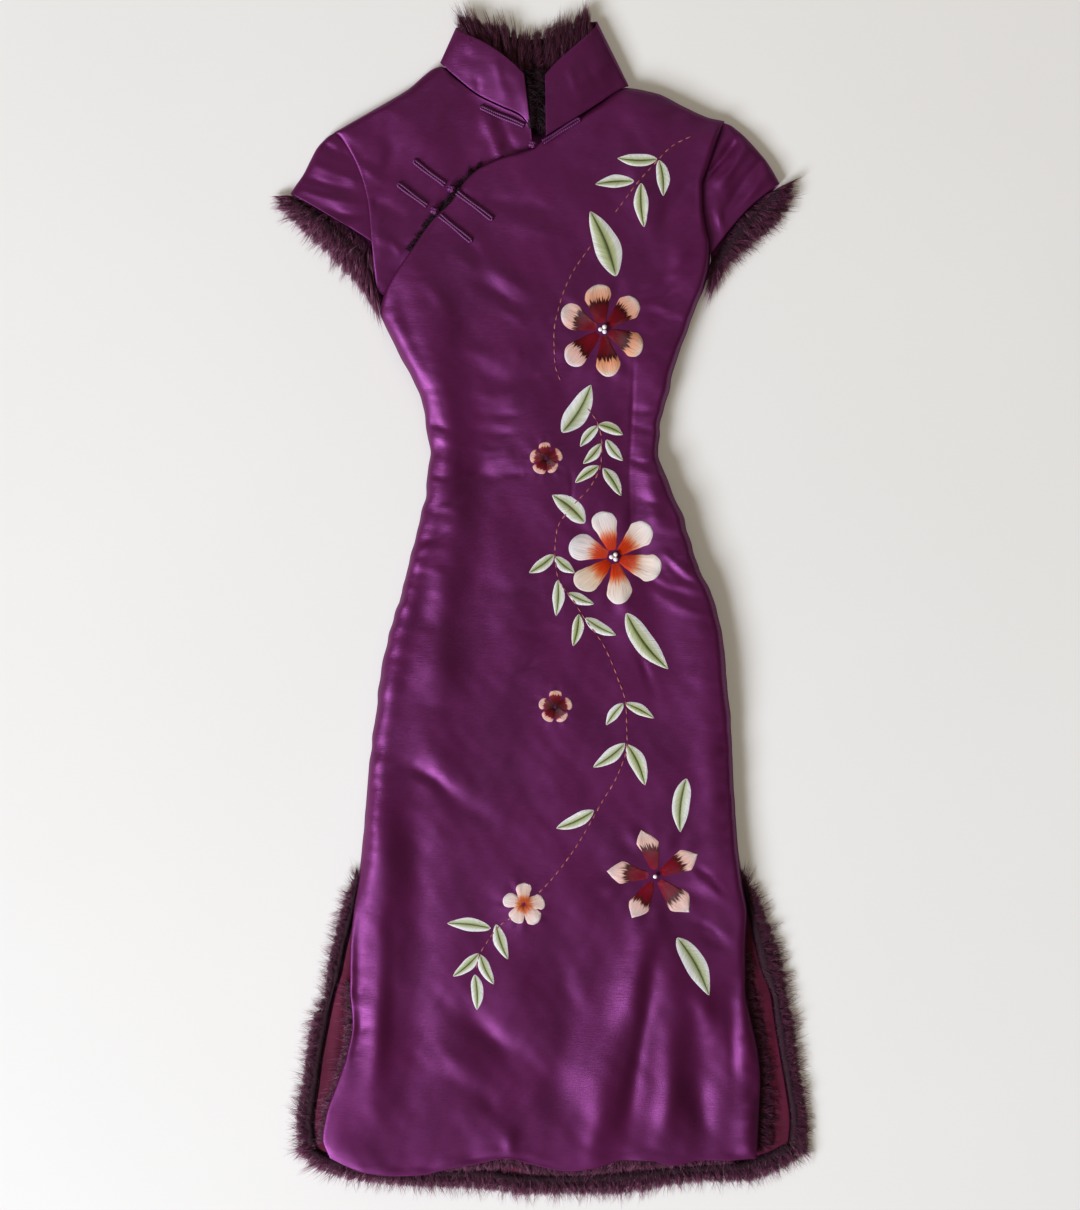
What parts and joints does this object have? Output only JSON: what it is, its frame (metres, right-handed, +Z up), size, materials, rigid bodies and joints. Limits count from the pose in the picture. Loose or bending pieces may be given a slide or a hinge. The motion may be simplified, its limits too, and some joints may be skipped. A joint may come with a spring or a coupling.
{
  "type": "padded satin qipao dress",
  "caption": "Lightly padded plum satin qipao with fur trim, stand collar, cap sleeves and side slits, lying flat, front up.",
  "frame": {"origin": "on the surface it lies on, at the middle of its bounding box", "axes": "+Y from the hem to the collar, +X to the wearer's left, +Z up out of the surface"},
  "size_m": [0.5308, 1.1811, 0.0247],
  "materials": {
    "plum_satin": "silk satin, soft sheen",
    "dusty_lining": "matt woven lining",
    "brown_fur": "soft fur, dark brown with lighter tips",
    "plum_cord": "satin rouleau cord"
  },
  "bodies": {
    "root": {"back_panel": "plum_satin", "collar": "plum_satin", "front_panel": "plum_satin", "sleeve_left": "plum_satin", "sleeve_right": "plum_satin", "under_panel": "plum_satin", "back_lining": "dusty_lining", "back_fur_hem": "brown_fur", "back_fur_left": "brown_fur", "back_fur_right": "brown_fur", "collar_fur": "brown_fur", "cuff_fur_left": "brown_fur", "cuff_fur_right": "brown_fur", "front_fur_hem": "brown_fur", "front_fur_left": "brown_fur", "front_fur_right": "brown_fur", "overlap_fur": "brown_fur", "frog_1_arm_left": "plum_cord", "frog_1_arm_right": "plum_cord", "frog_1_knot": "plum_cord", "frog_2_arm_left": "plum_cord", "frog_2_arm_right": "plum_cord", "frog_2_knot": "plum_cord", "frog_3_arm_left": "plum_cord", "frog_3_arm_right": "plum_cord", "frog_3_knot": "plum_cord"}
  },
  "joints": []
}
